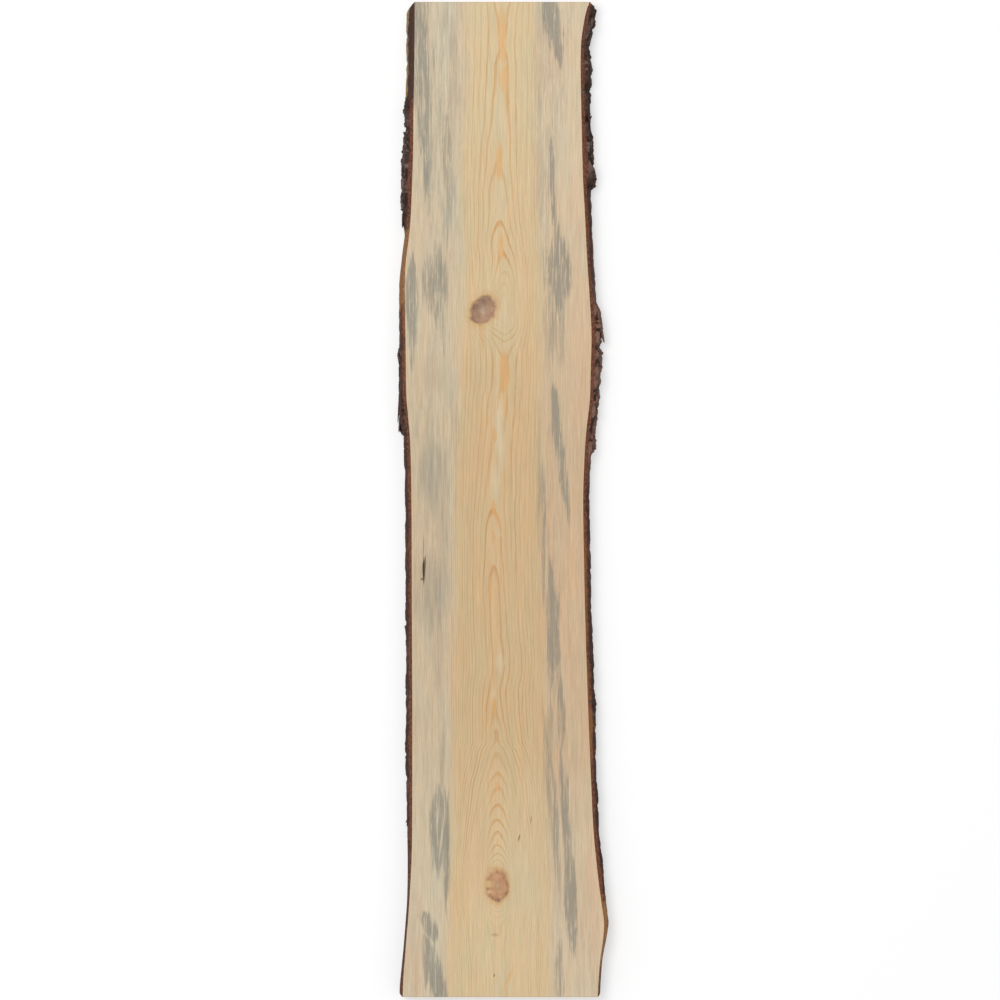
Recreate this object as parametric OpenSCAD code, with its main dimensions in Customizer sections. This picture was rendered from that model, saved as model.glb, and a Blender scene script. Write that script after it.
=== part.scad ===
// Live-edge pine plank: one slab, flat-sawn through a small stem, with the bark left on both edges.
// X runs across the plank, Y along it from the butt end to the top end, and Z up.
// The origin lies in the sawn underside, on the pith line, halfway between the two ends.

/* [Plank] */
// Length between the two cross-cut ends
plank_length = 1200; // [600:10:2400]
// Thickness between the two sawn faces
plank_thickness = 25; // [16:1:45]
// Mean width of the upper face, without the bark
face_width = 210; // [140:5:400]

/* [Stem] */
// Height of the pith above the underside at the butt end
pith_height_butt = 6; // [-20:1:15]
// Height of the pith above the underside at the top end
pith_height_top = -9; // [-20:1:15]

/* [Bark] */
// Thickness of the bast that stays on the wood where the outer bark has come off
bast_thickness = 1; // [0.6:0.1:3]
// Thickness of a whole plate of outer bark, on top of the bast
plate_thickness = 8; // [3:0.5:16]
// Angle to the end cut at which bark and wane have broken away at the four corners
corner_angle = 45; // [30:5:55]

/* [Resin pocket] */
// Length of the open resin pocket in the upper face
pocket_length = 26; // [10:1:50]
// Width of the pocket at its middle
pocket_width = 2.4; // [1:0.2:5]
// Depth of the pocket below the upper face
pocket_depth = 2; // [0.5:0.5:8]
// Distance of the pocket from the left edge of the upper face
pocket_inset = 14.5; // [6:0.5:40]
// Distance of the pocket's middle from the butt end
pocket_from_butt = 515; // [30:5:560]

/* [Hidden] */

// Sides of the plank, seen from the butt end with the upper face up, and its ends
left = -1;
right = 1;
butt = -1;
top = 1;

// Spacing of the cross-sections along the plank, and the number of flats across its edges
section_gap = 5;
wood_flats = 2;
bark_flats = 4;

// The stem is built larger than the slab by this much, so that every saw cut runs right through it
overcut = 3;
arc_facets = 180;

// Each point of the edge lines below is [distance from the butt end, value], and they stretch with the plank.
// How far each edge of the upper face lies outside half the mean width
left_swell = [
    [0, 12.5], [25, 11.5], [70, 8], [115, 4.5], [175, 1.5], [240, 1], [360, 1], [480, 1.5],
    [600, 2], [670, 3.5], [700, 6], [725, 8], [785, 9], [860, 10], [890, 8.5], [925, 4],
    [960, 2], [1020, 0], [1070, -0.5], [1130, -1.5], [1200, -2]
];
right_swell = [
    [0, 13], [20, 14], [45, 16], [70, 19.5], [90, 20.5], [110, 18], [140, 14], [200, 8],
    [285, 4], [360, 1], [455, -2], [525, -3.5], [600, -4.5], [650, -3], [685, -0.5], [720, 3.5],
    [755, 4.5], [800, 5.5], [840, 3.5], [895, 0], [945, -2.5], [995, -5], [1060, -6.5],
    [1110, -7.5], [1150, -7], [1170, -4.5], [1190, -0.5], [1200, 3.5]
];

// How much of a whole bark plate is left at each station: 0 is bare bast, and steps are broken plate ends
left_cover = [
    [0, 0.2], [12, 0.2], [30, 0.08], [60, 0], [115, 0], [140, 0.1], [190, 0.35], [262, 0.55],
    [300, 0.7], [325, 0.6], [410, 0.55], [530, 0.5], [675, 0.5], [682, 0.95], [705, 0.8],
    [725, 0.6], [757, 0.6], [780, 0.75], [786, 0.4], [805, 0.4], [860, 0.3], [887, 0.1],
    [922, 0.1], [928, 0.4], [942, 0.7], [960, 1], [1000, 1.05], [1020, 0.9], [1045, 0.7],
    [1072, 0.95], [1081, 0.9], [1087, 0.5], [1175, 0.5], [1200, 0.45]
];
right_cover = [
    [0, 0.05], [45, 0.05], [63, 0.15], [90, 0.4], [117, 0.45], [165, 0.6], [200, 0.45],
    [235, 0.6], [275, 0.45], [315, 0.6], [352, 0.75], [370, 0.6], [405, 0.65], [455, 0.5],
    [550, 0.5], [625, 0.4], [655, 0.55], [662, 1], [695, 0.8], [730, 0.85], [757, 1.1],
    [784, 1.05], [790, 1.55], [805, 1.3], [826, 0.95], [840, 0.45], [895, 0.4], [943, 0.4],
    [973, 0.5], [979, 1.2], [997, 1.3], [1020, 0.9], [1033, 1.1], [1050, 0.7], [1088, 0.7],
    [1106, 1], [1114, 1.05], [1136, 0.65], [1160, 0.75], [1172, 1], [1184, 0.8], [1200, 0.7]
];

// Share of the plank's length that lies between the butt end and y, and the like place on an edge line
function share(y) = max(0, min(1, y / plank_length + 0.5));
function station(points, y) = share(y) * points[len(points) - 1].x;

// A smooth curve through a list of [station, value] points: cubic spans with the slope of their neighbours
function span_at(points, s, i = 0) =
    i == len(points) - 2 || s < points[i + 1].x ? i : span_at(points, s, i + 1);
function slope_at(points, i) =
    let (before = points[max(i - 1, 0)], after = points[min(i + 1, len(points) - 1)])
    (after.y - before.y) / (after.x - before.x);
function smooth(points, s) =
    let (
        i = span_at(points, s),
        run = points[i + 1].x - points[i].x,
        u = (s - points[i].x) / run,
        v = 1 - u
    )
    points[i].y * (1 + 2 * u) * v * v + points[i + 1].y * (1 + 2 * v) * u * u
        + run * u * v * (slope_at(points, i) * v - slope_at(points, i + 1) * u);

// The pith runs straight through the stem, and the wood under the bark is round about it
function pith_height(y) = pith_height_butt + (pith_height_top - pith_height_butt) * share(y);
function half_face(y, side) =
    let (swell = side == left ? left_swell : right_swell)
    face_width / 2 + smooth(swell, station(swell, y));
function wood_radius(y, side) = norm([half_face(y, side), plank_thickness - pith_height(y)]);
function bark_thickness(y, side) =
    let (cover = side == left ? left_cover : right_cover)
    bast_thickness + plate_thickness * lookup(station(cover, y), cover);

// Place across the plank, at a height z, of a surface that lies outside the wood by a given depth
function edge_x(y, z, side, outside) =
    side * sqrt((wood_radius(y, side) + outside) ^ 2 - (z - pith_height(y)) ^ 2);

// Points up one edge of the cross-section at y, from below the slab to above it
function edge_line(y, side, outside, flats) = [
    for (i = [0 : flats])
        let (z = -overcut + (plank_thickness + 2 * overcut) * i / flats)
        [edge_x(y, z, side, outside), y, z]
];
function reversed(list) = [for (i = [len(list) - 1 : -1 : 0]) list[i]];

// Cross-sections from beyond the butt end to beyond the top end
half_run = plank_length / 2 + overcut;
gaps = ceil(2 * half_run / section_gap);
stations = [for (i = [0 : gaps]) half_run * (2 * i / gaps - 1)];

// Solid through a row of like rings of points. Two lofts with a common surface share its
// triangles if one of them runs the other way round and has its diagonals crossed.
module loft(rings, crossed = false) {
    n = len(rings[0]);
    last = n * (len(rings) - 1);
    points = [for (ring = rings) each ring];
    sides = [
        for (base = [0 : n : last - n], j = [0 : n - 1])
            let (
                a = base + j,
                b = base + (j + 1) % n,
                c = b + n,
                d = a + n
            )
            each crossed ? [[a, b, d], [b, c, d]] : [[a, b, c], [a, c, d]]
    ];
    ends = [
        for (j = [1 : n - 2])
            each [[0, j + 1, j], [last, last + j, last + j + 1]]
    ];
    polyhedron(points = points, faces = concat(sides, ends));
}

// Wood of the stem between the two edges, higher and deeper than the slab
module stem_wood() {
    loft([
        for (y = stations)
            concat(
                edge_line(y, left, 0, wood_flats),
                reversed(edge_line(y, right, 0, wood_flats))
            )
    ]);
}

// Bark on one edge of the stem, from the wood out to the broken plates
module stem_bark(side) {
    loft(
        [
            for (y = stations)
                let (
                    inner = edge_line(y, side, 0, wood_flats),
                    outer = edge_line(y, side, bark_thickness(y, side), bark_flats)
                )
                side == left ? concat(outer, reversed(inner)) : concat(inner, reversed(outer))
        ],
        crossed = true
    );
}

// A corner of the upper face, and the point clear of the bark that its break runs out to
function face_corner(side, end) =
    let (y = end * plank_length / 2)
    [side * half_face(y, side), y];
function break_end(side, end) =
    let (
        y = end * plank_length / 2,
        run = face_width - half_face(y, side)
    )
    [side * face_width, y - end * run * tan(corner_angle)];

// What the saw leaves between its two flat cuts and its two cross cuts, less the broken corners
module sawn_slab() {
    linear_extrude(plank_thickness)
        polygon([
            face_corner(left, butt), face_corner(right, butt),
            break_end(right, butt), break_end(right, top),
            face_corner(right, top), face_corner(left, top),
            break_end(left, top), break_end(left, butt)
        ]);
}

// Open resin pocket in the upper face: a slit with two bowed sides and pointed ends
module resin_pocket() {
    y = pocket_from_butt - plank_length / 2;
    bow_radius = (pocket_length ^ 2 + pocket_width ^ 2) / (4 * pocket_width);
    translate([pocket_inset - half_face(y, left), y, plank_thickness - pocket_depth])
        intersection_for(side = [left, right])
            translate([side * (bow_radius - pocket_width / 2), 0, 0])
                cylinder(r = bow_radius, h = pocket_depth + overcut, $fn = arc_facets);
}

module board() {
    color("#d8c299")
        difference() {
            intersection() {
                stem_wood();
                sawn_slab();
            }
            resin_pocket();
        }
}

module sawn_bark(side) {
    color("#4f3a2e")
        intersection() {
            stem_bark(side);
            sawn_slab();
        }
}

module bark_left() {
    sawn_bark(left);
}

module bark_right() {
    sawn_bark(right);
}

board();
bark_left();
bark_right();
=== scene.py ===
"""Live-edge pine plank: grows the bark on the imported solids, and paints the wood and the studio."""

import bpy
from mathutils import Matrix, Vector


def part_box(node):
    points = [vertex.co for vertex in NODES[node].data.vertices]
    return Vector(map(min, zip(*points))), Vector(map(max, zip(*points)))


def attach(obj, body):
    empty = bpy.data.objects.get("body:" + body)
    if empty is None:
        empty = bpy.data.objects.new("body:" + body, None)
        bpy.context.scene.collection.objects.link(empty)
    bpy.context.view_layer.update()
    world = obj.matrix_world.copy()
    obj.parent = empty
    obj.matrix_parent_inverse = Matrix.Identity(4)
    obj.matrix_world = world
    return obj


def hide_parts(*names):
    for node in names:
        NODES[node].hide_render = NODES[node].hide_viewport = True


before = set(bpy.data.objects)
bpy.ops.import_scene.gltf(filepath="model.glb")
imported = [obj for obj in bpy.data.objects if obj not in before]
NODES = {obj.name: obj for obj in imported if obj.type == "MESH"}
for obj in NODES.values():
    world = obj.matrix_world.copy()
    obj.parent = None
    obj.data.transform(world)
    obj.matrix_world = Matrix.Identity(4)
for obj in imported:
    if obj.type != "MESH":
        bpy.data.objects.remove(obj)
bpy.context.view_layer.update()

MM = 0.001
BOARD_LOW, BOARD_HIGH = (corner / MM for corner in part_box("board"))
LENGTH = BOARD_HIGH.y - BOARD_LOW.y
THICKNESS = BOARD_HIGH.z - BOARD_LOW.z

# Camera: straight above the upper face, with the photograph's scale on that face, in mm
LENS = 200.0
SENSOR = 36.0
PICTURE_WIDTH = 1206.0
PICTURE_MIDDLE_Y = -0.6

# Wood colours, linear
HEART_EARLY = (0.655, 0.505, 0.305, 1.0)
HEART_LATE = (0.510, 0.306, 0.132, 1.0)
SAP_LEFT = (0.615, 0.510, 0.360, 1.0)
SAP_RIGHT = (0.650, 0.510, 0.350, 1.0)
SAP_LATE = (0.530, 0.395, 0.255, 1.0)
CORE_LATE = (0.585, 0.318, 0.112, 1.0)
STAIN_TINT = (0.540, 0.590, 0.665, 1.0)
STAIN_GREY = (0.345, 0.302, 0.230, 1.0)
PALE_TINT = (1.060, 1.075, 1.070, 1.0)
TAN_TINT = (0.960, 0.890, 0.815, 1.0)
PINK_TINT = (1.030, 0.985, 0.965, 1.0)
GREEN_TINT = (0.965, 1.010, 1.030, 1.0)
FILL_ORANGE = (0.680, 0.422, 0.195, 1.0)
FILL_PALE = (0.650, 0.525, 0.335, 1.0)
FLECK_TINT = (1.000, 0.880, 0.840, 1.0)
END_TINT = (0.800, 0.720, 0.620, 1.0)
KNOT_GREY = (0.400, 0.246, 0.156, 1.0)
KNOT_RED = (0.525, 0.288, 0.148, 1.0)
KNOT_PALE = (0.500, 0.360, 0.250, 1.0)
KNOT_RIM = (0.240, 0.120, 0.065, 1.0)
RESIN = (0.120, 0.080, 0.035, 1.0)

# Bark colours, linear
BARK_BAST = (0.215, 0.090, 0.038, 1.0)
BARK_INNER = (0.098, 0.038, 0.021, 1.0)
BARK_OUTER = (0.056, 0.030, 0.023, 1.0)
BARK_GREY = (0.150, 0.105, 0.088, 1.0)
# Painted shade for the bottoms of the bark's furrows
BARK_FURROW_SHADE = (0.026, 0.015, 0.011, 1.0)
BARK_RED = (0.190, 0.072, 0.042, 1.0)
BARK_OCHRE = (0.360, 0.205, 0.085, 1.0)
BARK_LINING = (0.260, 0.095, 0.042, 1.0)
BARK_OLIVE = (0.310, 0.215, 0.095, 1.0)
BARK_WARM = (0.225, 0.122, 0.088, 1.0)

# Where the outer bark is off and the bast shows: (share of the length from the butt end, how bare)
BARE_LEFT = (
    (0.00, 0.2), (0.05, 0.2), (0.11, 0.2), (0.15, 0.1), (0.30, 0.1), (0.60, 0.1), (0.66, 0.2),
    (0.69, 0.6), (0.73, 1.0), (0.765, 1.0), (0.78, 0.0), (0.90, 0.0), (0.93, 0.2), (1.00, 0.2),
)
BARE_RIGHT = (
    (0.00, 0.4), (0.04, 0.8), (0.06, 1.0), (0.09, 1.0), (0.11, 0.1), (0.23, 0.1), (0.245, 0.5),
    (0.275, 0.5), (0.29, 0.2), (0.34, 0.2), (0.40, 0.4), (0.46, 0.3), (0.50, 0.0), (0.70, 0.0),
    (0.75, 0.1), (1.00, 0.0),
)
# How deep the right plates have broken away under the loose flap: (share of the length, depth in mm)
WORN_RIGHT = (
    (0.00, 0.0), (0.649, 0.0), (0.655, 4.5), (0.661, 4.5), (0.669, 1.0), (0.676, 0.0), (1.00, 0.0),
)
# Limit of the depths there, in mm
WORN_REACH = 10.0

# Sides, and the edges with bark: (side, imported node, seed)
LEFT = -1.0
RIGHT = 1.0
EDGES = ((LEFT, "bark_left", 20), (RIGHT, "bark_right", 400))
# Shreds of bark, in mm: (side, place of root and tip along, height, stand-off at the tip,
# half width, half thickness)
SHREDS = (
    (RIGHT, 230, 189, 14, 9.5, 8.0, 3.2), (RIGHT, 236, 200, 8, 6.0, 6.0, 3.0),
    (RIGHT, 240, 206, 20, 5.5, 4.0, 3.0), (LEFT, 120, 81, 16, 4.5, 6.0, 2.4),
    (LEFT, 128, 92, 8, 2.5, 4.0, 1.4), (LEFT, 345, 328, 14, 1.5, 6.0, 2.0),
    (LEFT, -163, -152, 17, 3.5, 2.0, 1.2), (LEFT, -312, -322, 17, 2.5, 2.0, 1.1),
    (LEFT, -380, -395, 18, 2.5, 2.0, 1.2), (LEFT, -385, -391, 14, 3.0, 1.5, 0.9),
    (RIGHT, 470, 448, 18, 3.0, 4.0, 1.6), (RIGHT, 402, 378, 17, 3.0, 5.0, 1.8),
    (RIGHT, 74, 60, 17, 2.5, 4.0, 1.6), (RIGHT, -404, -412, 20, 1.5, 2.0, 1.0),
    (RIGHT, -420, -428, 19, 2.0, 2.0, 1.0), (RIGHT, -436, -443, 20, 1.5, 2.0, 0.9),
    (RIGHT, -452, -460, 19, 2.0, 2.0, 0.9), (RIGHT, -466, -472, 20, 1.5, 2.0, 0.9),
)

# Studio, with lengths in metres and power in watts
WHITE = (1.0, 1.0, 1.0, 1.0)
WORLD_LEVEL = 0.62
CLIP_END = 100.0
KEY_PLACE = (-1.5, 1.0, 4.0)
KEY_SIZE = 2.2
KEY_POWER = 80.0
FLOOR_HALF_SIZE = 12.0
FLOOR_PAPER = (0.60, 0.60, 0.60, 1.0)
FLOOR_GLOW = 0.45

# The pith's path: (share of the length from the butt end, mm across, mm below the upper face)
PITH_PATH = (
    (0.000, 3.5, 18.0), (0.012, 2.5, 17.5), (0.032, 1.0, 17.0), (0.047, -3.0, 18.0), (0.061, -4.0, 19.5),
    (0.080, -3.5, 24.0), (0.190, -2.5, 25.0), (0.213, -3.0, 24.0), (0.227, -3.0, 20.0),
    (0.247, -3.5, 10.0), (0.263, -4.5, 4.0), (0.276, -6.0, 7.6), (0.293, -7.0, 9.0), (0.308, -6.5, 11.0),
    (0.336, -2.0, 11.2), (0.358, -4.0, 11.4), (0.400, -7.0, 11.6), (0.418, -8.0, 12.0),
    (0.438, -8.0, 13.8), (0.462, -8.5, 14.9), (0.472, -8.5, 15.4), (0.484, -8.0, 16.9),
    (0.494, -7.5, 18.0), (0.510, -5.5, 18.7), (0.530, -4.5, 19.9), (0.548, -3.5, 20.8),
    (0.575, -0.5, 21.2), (0.588, 1.0, 20.7), (0.600, 2.0, 20.8), (0.615, 4.5, 22.2), (0.625, 5.0, 22.4),
    (0.638, 5.5, 22.2), (0.658, 6.0, 18.0), (0.665, 6.0, 13.5), (0.672, 6.0, 9.0), (0.680, 6.0, 4.5),
    (0.695, 6.0, 2.0), (0.705, 6.0, 2.0), (0.718, 5.5, 4.5), (0.730, 5.0, 9.0), (0.743, 3.5, 12.1),
    (0.756, 1.0, 13.5), (0.780, -1.0, 18.0), (0.791, -1.5, 19.1), (0.811, -3.0, 19.8),
    (0.823, -2.5, 21.0), (0.836, -2.0, 22.1), (0.854, -1.5, 22.6), (0.876, 0.0, 24.1), (0.901, 0.5, 25.0),
    (0.921, 1.5, 25.4), (0.937, 1.8, 25.5), (0.945, 1.8, 26.2), (0.957, 1.8, 26.6), (0.977, 2.6, 26.2),
    (0.987, 2.6, 25.8), (1.000, 3.0, 24.5),
)
# Limit of the values in that path, in mm
PITH_REACH = 30.0
# How tan the wood is: (share of the length from the butt end, how much)
TAN_ALONG = (
    (0.00, 0.15), (0.10, 0.25), (0.20, 0.65), (0.30, 1.0), (0.55, 0.95), (0.70, 0.5), (0.85, 0.2),
    (1.0, 0.0),
)
# Width of the rings at the heart, in mm
RING_WIDTH = 4.5
# How orange the late wood over the pith is: (share of the length from the butt end, how much)
CORE_ALONG = (
    (0.00, 0.25), (0.07, 0.35), (0.12, 0.45), (0.155, 0.75), (0.22, 0.95), (0.24, 0.55), (0.28, 1.00),
    (0.30, 0.95), (0.33, 0.60), (0.44, 0.65), (0.47, 0.85), (0.50, 0.95), (0.55, 0.85), (0.62, 1.00),
    (0.70, 0.80), (0.78, 1.00), (1.00, 0.95),
)

# Streaks are rows of (across, along, half width, half length, lean, strength), with lengths in mm.
# Blue stain in the sapwood
STAIN_STREAKS = (
    (-95, 525, 11, 150, -0.05, 0.95), (-90, 409, 4.5, 75, -0.03, 1.00), (-67, 566, 5, 50, 0.0, 0.45),
    (-58, 518, 6, 68, 0.0, 0.40), (-64, 421, 5, 55, -0.03, 0.72), (-61, 373, 6, 66, -0.04, 0.62),
    (-66, 331, 5, 38, -0.03, 0.50), (-107, 228, 8.5, 66, 0.0, 0.98), (-78, 262, 14.5, 50, 0.0, 0.84),
    (-69, 210, 3.5, 42, -0.04, 0.55), (-70, -318, 4.5, 44, 0.0, 0.45), (-73, -395, 10, 60, 0.0, 1.15),
    (-65, -415, 6, 68, 0.0, 1.20), (-65, -465, 3, 24, 0.0, 0.75), (-87, -513, 8, 20, -0.35, 1.10),
    (-75, -586, 10, 62, -0.25, 1.10), (48, 542, 6, 88, 0.0, 0.40), (63, 578, 11.5, 50, -0.18, 1.30),
    (48, 500, 6, 44, 0.0, 0.50), (64, 355, 3.5, 76, -0.03, 1.35), (49, 385, 5, 56, 0.0, 0.40),
    (70, 274, 13, 56, 0.0, 1.20), (63, 216, 8, 56, 0.0, 0.60), (75, 204, 5, 50, 0.0, 0.50),
    (72, 60, 5, 94, -0.12, 1.20), (50, -25, 5.5, 105, -0.03, 1.00), (62, -127, 6.5, 50, -0.04, 1.30),
    (63, -188, 8.5, 60, -0.04, 1.00), (74, -260, 5, 60, -0.05, 0.90), (60, -284, 6, 50, 0.0, 0.60),
    (62, -356, 6.5, 96, -0.09, 0.85), (68, -430, 4, 56, -0.05, 0.70), (79, -390, 4.5, 120, -0.055, 0.95),
    (86, -489, 6, 74, -0.03, 1.35), (73, -568, 6, 44, 0.0, 0.75),
)
# Clear lines in the stain
STAIN_GAPS = (
    (-69, -398, 1.3, 46, 0.12, 0.85), (-74, -372, 0.9, 30, 0.05, 0.60), (54, 50, 0.8, 40, -0.05, 0.50),
    (71, -356, 1.0, 70, -0.07, 0.60),
)
# Broad fields of faint, mottled stain
STAIN_FIELDS = (
    (-72, 470, 42, 260, 0.0, 0.22), (-82, 20, 36, 180, 0.0, 0.20), (-78, -240, 24, 170, 0.0, 0.10),
    (52, 470, 20, 200, 0.0, 0.26), (58, -40, 18, 200, 0.0, 0.18), (68, -380, 18, 170, 0.0, 0.18),
)

# Soft patches of stain, each smooth in itself
STAIN_PATCHES = (
    (-82, 150, 11, 30, 0.0, 0.36), (-80, 28, 17, 52, 0.0, 0.62), (-69, -34, 7, 56, 0.0, 0.45),
    (-80, -112, 19, 58, 0.0, 0.66), (-75, -175, 9, 64, 0.0, 0.36), (-92, -40, 3, 50, 0.0, 0.35),
)

# Knots on the upper face, in mm: across, along, half width, half length, turn in radians
KNOT_UPPER = {"across": -20.5, "along": 228.5, "half_width": 14.0, "half_length": 18.5, "turn": -0.55}
KNOT_LOWER = {"across": -3.5, "along": -465.5, "half_width": 13.5, "half_length": 19.0, "turn": 0.0}
# What each knot looks like: how pale its middle is, how strong its rim, its rings and the fibres
# that break its left side are, how much darker its left side is, and how ragged its outline is
KNOT_UPPER_LOOK = {
    "colour": KNOT_GREY, "paleness": 0.75, "rim": 0.45, "rim_lean": 0.5, "rings": 0.20,
    "broken": 0.25, "dark_left": 0.30, "ragged": 0.36,
}
KNOT_LOWER_LOOK = {
    "colour": KNOT_RED, "paleness": 0.50, "rim": 0.85, "rim_lean": -0.3, "rings": 0.12,
    "broken": 0.90, "dark_left": -0.04, "ragged": 0.15,
}
# Ring number at the middle of the lower knot, and the rings in one radius of it
KNOT_RING = -11.0
KNOT_RING_STEP = 1.6
# Rings drawn out round the lower knot: (share of the length from the butt end, how many rings)
KNOT_DRAW = (
    (0.000, 8.75), (0.012, 8.65), (0.032, 8.5), (0.047, 8.75), (0.055, 9.0), (0.064, 9.7), (0.073, 10.6),
    (0.080, 11.6), (0.086, 12.6), (0.096, 13.8), (0.133, 13.8), (0.143, 12.6), (0.152, 11.6),
    (0.168, 10.6), (0.180, 9.6), (0.194, 8.6), (0.213, 7.3), (0.227, 5.4), (0.247, 2.2), (0.263, 0.0),
    (1.000, 0.0),
)
# How far to each side they are drawn out, and how blunt their points are, in mm
KNOT_DRAW_WIDTH = 78.0
KNOT_DRAW_POINT = 12.0

# Small dark marks
MARKS = (
    (23, -408, 0.9, 5, 0.25, 0.8), (37.5, -386, 0.7, 5, 0.1, 0.5), (-6.5, -525, 4.5, 2.2, 0.0, 0.3),
    (-7, -574, 0.9, 2.2, 0.2, 0.8),
)

# Broad late wood where a ring lies flat in the face, as streaks
ORANGE_FILLS = (
    (2.4, 558, 4.5, 42, -0.02, 0.80), (4.0, 508, 6.0, 18, 0.0, 0.60), (-1.0, 409, 3.6, 26, 0.02, 1.00),
    (1.2, 304, 3.2, 18, 0.0, 1.00), (5.4, 154, 6.0, 25, -0.04, 1.00), (7.5, 120, 1.6, 26, 0.05, 0.70),
    (-1.0, 126, 1.6, 24, 0.12, 0.75), (-6.6, 77, 2.6, 10, 0.0, 0.80), (-7.8, -9, 2.6, 9, 0.0, 0.75),
    (-2.5, -24, 1.6, 15, -0.35, 0.80), (-8.4, -45, 3.0, 9, 0.0, 0.55), (-11.0, -112, 1.8, 22, 0.02, 0.80),
    (-7.2, -249, 2.6, 12, 0.0, 0.90), (-22.5, 196, 1.3, 30, -0.08, 0.70),
    (10.5, -578, 2.4, 16, 0.42, 0.70), (-46.0, -460, 14, 60, 0.0, 0.15), (-3.0, -345, 2.6, 6, 0.0, 0.65),
    (-3.0, -413, 2.2, 5, 0.0, 0.45), (7.5, -598, 3.0, 12, 0.1, 0.55),
)
# Pale early wood between flat rings
PALE_FILLS = (
    (-1.0, 84, 6.0, 52, -0.06, 0.90), (0.6, -197, 4.0, 12, 0.0, 0.70), (-7.8, -238, 3.0, 10, 0.0, 0.60),
    (-1.0, 360, 5.0, 30, 0.0, 0.50), (0.0, 455, 6.0, 28, 0.0, 0.50), (6.0, 215, 8.0, 36, 0.0, 0.55),
    (36.0, -430, 18, 130, 0.0, 0.40), (-5.0, 20, 5.0, 26, 0.0, 0.70), (-2.0, -40, 4.0, 8, 0.0, 0.50),
)
# Pink flecks in the sapwood
PINK_FLECKS = (
    (107, -500, 14, 70, 0.0, 0.60), (96, -560, 8, 36, 0.0, 0.45), (-99, -560, 12, 46, 0.0, 0.70),
    (-104, -500, 8, 30, 0.0, 0.40), (84, 330, 12, 60, 0.0, 0.25), (96, 60, 14, 110, 0.0, 0.30),
    (88, -120, 14, 90, 0.0, 0.12),
)

# Resin pocket in the left side of the upper face
RESIN_STREAKS = (
    (-92.0, -85, 1.7, 17, 0.0, 1.00), (-90.6, -80, 1.1, 13, 0.05, 0.85),
    (-93.6, -96, 2.6, 2.0, 0.0, 0.70), (-92.5, -60, 0.7, 18, 0.03, 0.45),
)

# How soft the edges of the painted streaks are, as a share of their half width
STAIN_EDGE = 0.38
FILL_EDGE = 0.45
FLECK_EDGE = 0.80
MARK_EDGE = 0.35

# Noises in the wood: (waves per mm across, along and up), detail, roughness
WARP = ((0.10, 0.010, 0.10), 3.0, 0.5)
WAVER = ((0.09, 0.020, 0.09), 4.0, 0.6)
LUMP = ((0.13, 0.13, 0.13), 2.5, 0.5)
UNEVEN = ((0.05, 0.032, 0.05), 3.0, 0.5)
RING_CHANGE = ((0.05, 0.005, 0.05), 3.0, 0.5)
MOTTLE = ((0.045, 0.008, 0.045), 4.0, 0.6)
SMUDGE = ((0.12, 0.011, 0.12), 5.0, 0.65)
THREAD = ((0.48, 0.016, 0.48), 4.0, 0.7)
BLOTCH = ((0.20, 0.030, 0.20), 5.0, 0.7)
FINGER = ((0.27, 0.013, 0.27), 4.0, 0.65)
KERF = ((0.05, 0.0, 1.6), 4.0, 0.7)
KNOT_SPECKLE = ((0.55, 0.55, 0.55), 4.0, 0.7)
KNOT_PATCHES = ((0.11, 0.14, 0.11), 3.0, 0.55)
KNOT_FIBRES = ((0.04, 0.20, 0.04), 3.0, 0.6)
# Fine streaks along the grain, the share of each noise, and how fine they are in each material
BROAD_FIBRE = ((0.16, 0.006, 0.16), 3.0, 0.6)
FINE_FIBRE = ((0.75, 0.030, 0.75), 4.0, 0.75)
BROAD_SHARE = 0.25
FINE_SHARE = 0.75
PINE_FINENESS = 1.0
BARK_FINENESS = 1.0
# Checks in a knot: waves round it, detail and roughness, waves outwards, and its plain middle
SPOKES = (3.2, 3.0, 0.6)
SPOKE_STRETCH = 0.5
SPOKE_MIDDLE = 0.05

# Ramps are (from, to) for a smooth rise from 0 to 1, or (from, to, value at from, value at to).
# Rings, in mm: where they follow the pith's sway, and where its own depth gives way to the usual one
PITH_PULL = (65.0, 12.0)
PITH_WAVER = 3.0
PITH_SPREAD = (18.0, 48.0)
USUAL_DEPTH = 20.0
# Depth in mm at which knots and fills have gone and at which they are whole, and how lumpy a knot is
FACE_DEPTH = (12.0, 4.0)
LUMP_SIZE = 0.36
# Radius beyond which the rings narrow, in mm, and how fast
NARROW_FROM = 35.0
NARROWING = 0.0031
# Rings round the knots: the reach of the drawn curve, its unevenness, and their bow round each knot
DRAW_REACH = 20.0
DRAW_UNEVEN = 0.08
UPPER_BOW = (2.4, 0.6, 0.0, 2.5)
LOWER_ROUND = (1.65, 1.20)
RING_WAVER = 0.5
# Late wood: where in a ring it starts, along the plank, where it is darkest, and its sharp outer end
LATE_START = (0.25, 0.40, 0.60, 0.68)
LATE_DARKEST = 0.93
LATE_END = (1.0, 0.965)
# How strong it is: along a ring, from ring to ring, near the knots, and over the pith
LATE_CHANGE = (0.3, 0.7, 0.45, 1.1)
LATE_OWN = (0.25, 1.2)
LATE_NEAR_KNOT = (3.6, 1.8, 1.0, 0.60)
CORE_WIDTH = (0.22, 0.30, 14.0, 36.0)
CORE_FULL = 8.0
CORE_OWN = (0.60, 1.15)
# Where it is fainter: where the pith lies shallow, at the top end, and below the lower knot
SHALLOW_LEVEL = (0.40, 0.60, 0.85, 0.35)
SHALLOW_DEPTH = (4.0, 13.0)
TOP_LEVEL = (0.75, 0.95, 1.0, 0.8)
BELOW_KNOT_ASIDE = (45.0, 20.0)
BELOW_KNOT_ALONG = (0.115, 0.085)
BELOW_KNOT_LEVEL = 0.55
# Heartwood: its radius at the butt end and at the top end, its wavy edge, and how soft that is, in mm
HEART_BUTT = 66.0
HEART_TOP = 46.0
HEART_WARP = 14.0
HEART_BLUR = (-8.0, 9.0)
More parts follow.
